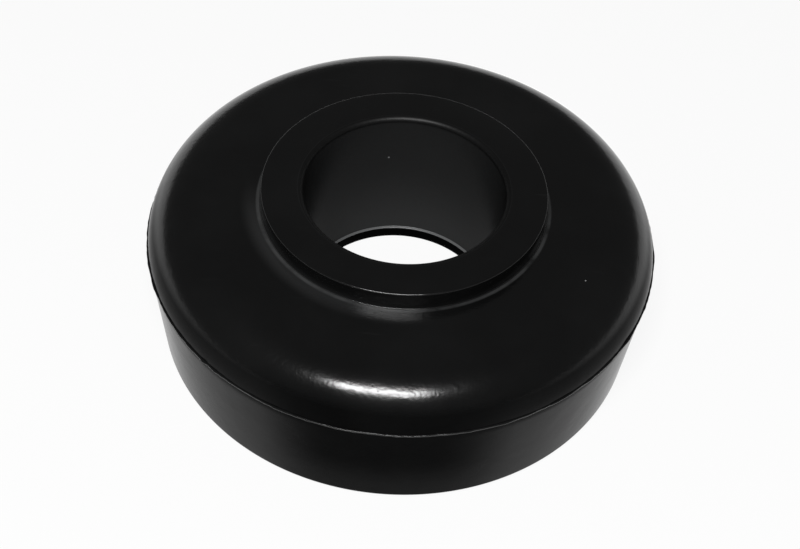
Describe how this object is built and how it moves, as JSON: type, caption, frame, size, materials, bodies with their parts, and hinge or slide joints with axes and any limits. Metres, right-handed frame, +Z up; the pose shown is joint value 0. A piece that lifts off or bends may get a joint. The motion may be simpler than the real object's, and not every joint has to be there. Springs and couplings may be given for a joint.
{
  "type": "cab mount",
  "caption": "Moulded black rubber cab mount cushion: a thick ring with a rounded shoulder, a raised pilot boss, a lipped through bore and a drafted lower wall.",
  "frame": {"origin": "centre of the base, on the surface that the cushion rests on", "axes": "+Z up the axis of the bore, from the base to the pilot boss; the part is round, so X and Y are free"},
  "size_m": [0.1006, 0.1006, 0.0338],
  "materials": {
    "moulded_rubber": "smooth black rubber with a satin sheen, as it leaves the mould"
  },
  "bodies": {
    "root": {"rubber_cushion": "moulded_rubber"}
  },
  "joints": []
}
